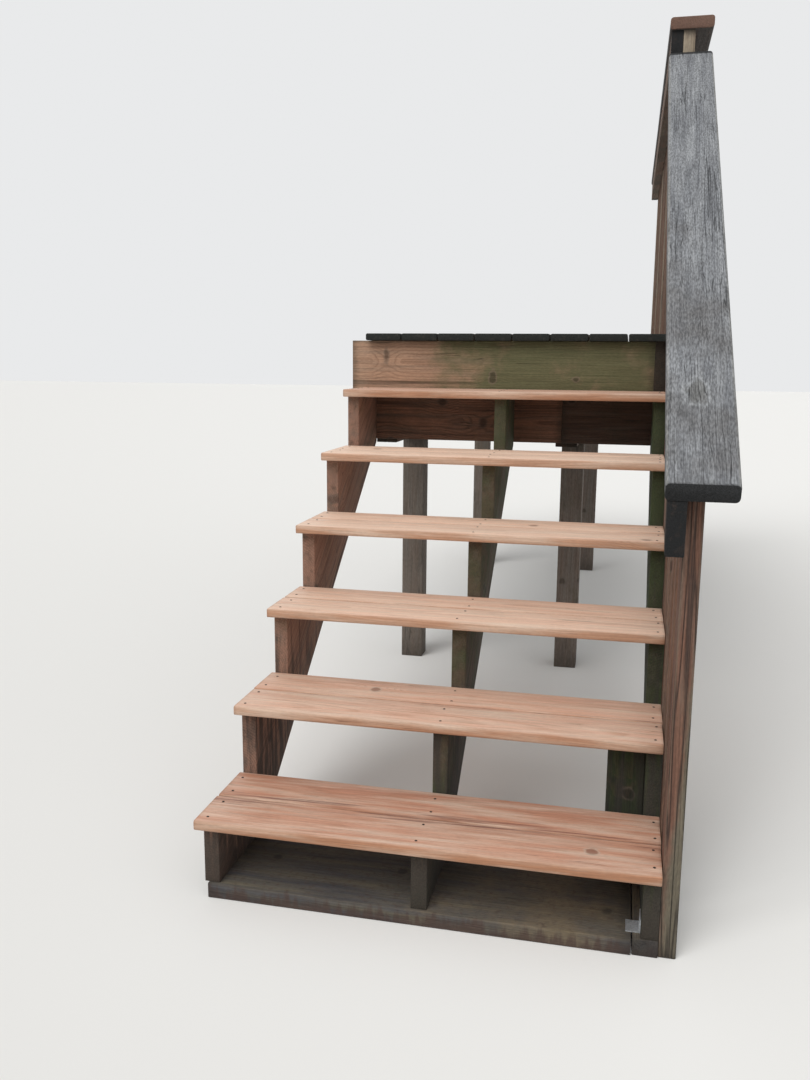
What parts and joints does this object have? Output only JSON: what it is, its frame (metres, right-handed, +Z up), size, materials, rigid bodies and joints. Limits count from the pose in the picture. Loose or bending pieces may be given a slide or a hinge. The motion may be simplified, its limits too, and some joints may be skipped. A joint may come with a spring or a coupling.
{
  "type": "deck stairs",
  "caption": "Open-riser timber deck stairs on notched stringers, climbing to a posted landing with a capped baluster guard along the outer side.",
  "frame": {"origin": "centre of the footprint's bounding box, at ground level", "axes": "+X along the treads towards the guard, +Y up the flight and along the landing, +Z up"},
  "size_m": [1.199, 4.614, 2.375],
  "materials": {
    "tread_wood": "fresh softwood, lightly weathered",
    "stringer_wood": "old pressure-treated wood, dark with green algae",
    "frame_wood": "old pressure-treated wood, tan to olive green",
    "decking_wood": "weathered boards, ends black-green",
    "guard_wood": "reddish brown, weathered",
    "cap_wood": "weathered to grey",
    "bracket_steel": "galvanised"
  },
  "bodies": {
    "root": {"tread_1": "tread_wood", "tread_2": "tread_wood", "tread_3": "tread_wood", "tread_4": "tread_wood", "tread_5": "tread_wood", "tread_6": "tread_wood", "wall_stringer": "stringer_wood", "middle_stringer": "stringer_wood", "outer_stringer": "stringer_wood", "base_board": "stringer_wood", "foot_block": "stringer_wood", "foot_angle": "bracket_steel", "short_post": "stringer_wood", "newel": "guard_wood", "stair_rail": "guard_wood", "stair_cap": "cap_wood", "stair_balusters": "guard_wood", "header": "frame_wood", "hanger_wall_side": "frame_wood", "hanger_outer_side": "frame_wood", "wall_rim": "frame_wood", "outer_rim": "frame_wood", "far_joist": "frame_wood", "joists": "frame_wood", "wall_beam": "frame_wood", "outer_beam": "frame_wood", "wall_post_near": "frame_wood", "wall_post_far": "frame_wood", "outer_post_near": "frame_wood", "outer_post_far": "frame_wood", "landing_decking": "decking_wood", "guard_post_1": "guard_wood", "guard_post_2": "guard_wood", "guard_post_3": "guard_wood", "guard_post_4": "guard_wood", "landing_rail": "guard_wood", "landing_cap": "cap_wood", "landing_balusters_1": "guard_wood", "landing_balusters_2": "guard_wood", "landing_balusters_3": "guard_wood"}
  },
  "joints": []
}
